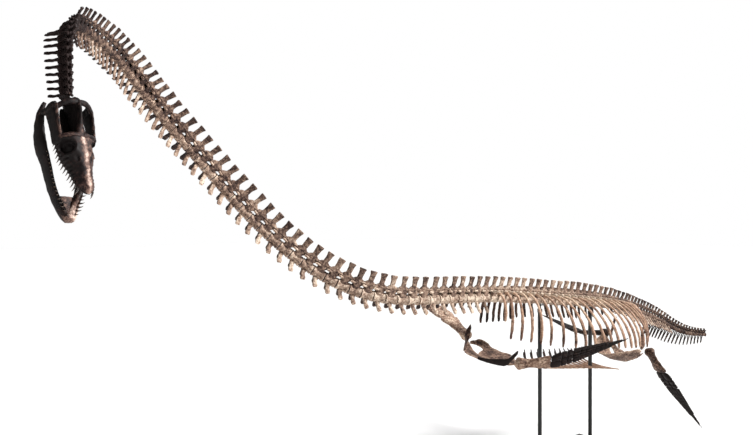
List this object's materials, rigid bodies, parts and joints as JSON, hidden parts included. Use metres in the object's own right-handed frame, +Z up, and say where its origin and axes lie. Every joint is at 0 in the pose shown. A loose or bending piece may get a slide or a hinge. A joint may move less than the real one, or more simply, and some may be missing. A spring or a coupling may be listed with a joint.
{
  "type": "mounted plesiosaur skeleton",
  "caption": "Still, life-size skeleton of a long-necked plesiosaur in a swimming pose, neck arched and head hanging, on a flat display stand with posts.",
  "frame": {"origin": "centre of the underside of the stand's base", "axes": "+Z up, trunk along X with the head end toward -X, the animal's left side toward -Y"},
  "size_m": [8.3793, 3.1656, 4.1279],
  "materials": {
    "skull_bone": "dark brown fossil bone, matt, with paler worn ridges",
    "backbone": "mottled tan and grey-brown fossil bone, matt",
    "ribs": "warm tan fossil bone, matt",
    "girdles_and_flippers": "tan to dark brown fossil bone, matt",
    "stand_base": "dark stained oak plinth",
    "stand_posts": "satin black painted steel"
  },
  "bodies": {
    "root": {"back_1": "backbone", "back_2": "backbone", "back_3": "backbone", "back_4": "backbone", "belly_ribs": "ribs", "coracoid_left": "girdles_and_flippers", "coracoid_right": "girdles_and_flippers", "femur_left": "girdles_and_flippers", "femur_right": "girdles_and_flippers", "humerus_left": "girdles_and_flippers", "humerus_right": "girdles_and_flippers", "ilium_left": "girdles_and_flippers", "ilium_right": "girdles_and_flippers", "ischium_left": "girdles_and_flippers", "ischium_right": "girdles_and_flippers", "mandible": "skull_bone", "neck_1": "backbone", "neck_2": "backbone", "neck_3": "backbone", "neck_4": "backbone", "neck_5": "backbone", "neck_6": "backbone", "neck_7": "backbone", "neck_8": "backbone", "paddle_fore_left": "girdles_and_flippers", "paddle_fore_right": "girdles_and_flippers", "paddle_hind_left": "girdles_and_flippers", "paddle_hind_right": "girdles_and_flippers", "pubis_left": "girdles_and_flippers", "pubis_right": "girdles_and_flippers", "rib_cage_left": "ribs", "rib_cage_right": "ribs", "sacrum": "backbone", "scapula_left": "girdles_and_flippers", "scapula_right": "girdles_and_flippers", "skull": "skull_bone", "stand_base": "stand_base", "stand_rod_front": "stand_posts", "stand_rod_rear": "stand_posts", "tail_1": "backbone", "tail_2": "backbone", "tail_3": "backbone", "tail_4": "backbone"}
  },
  "joints": []
}
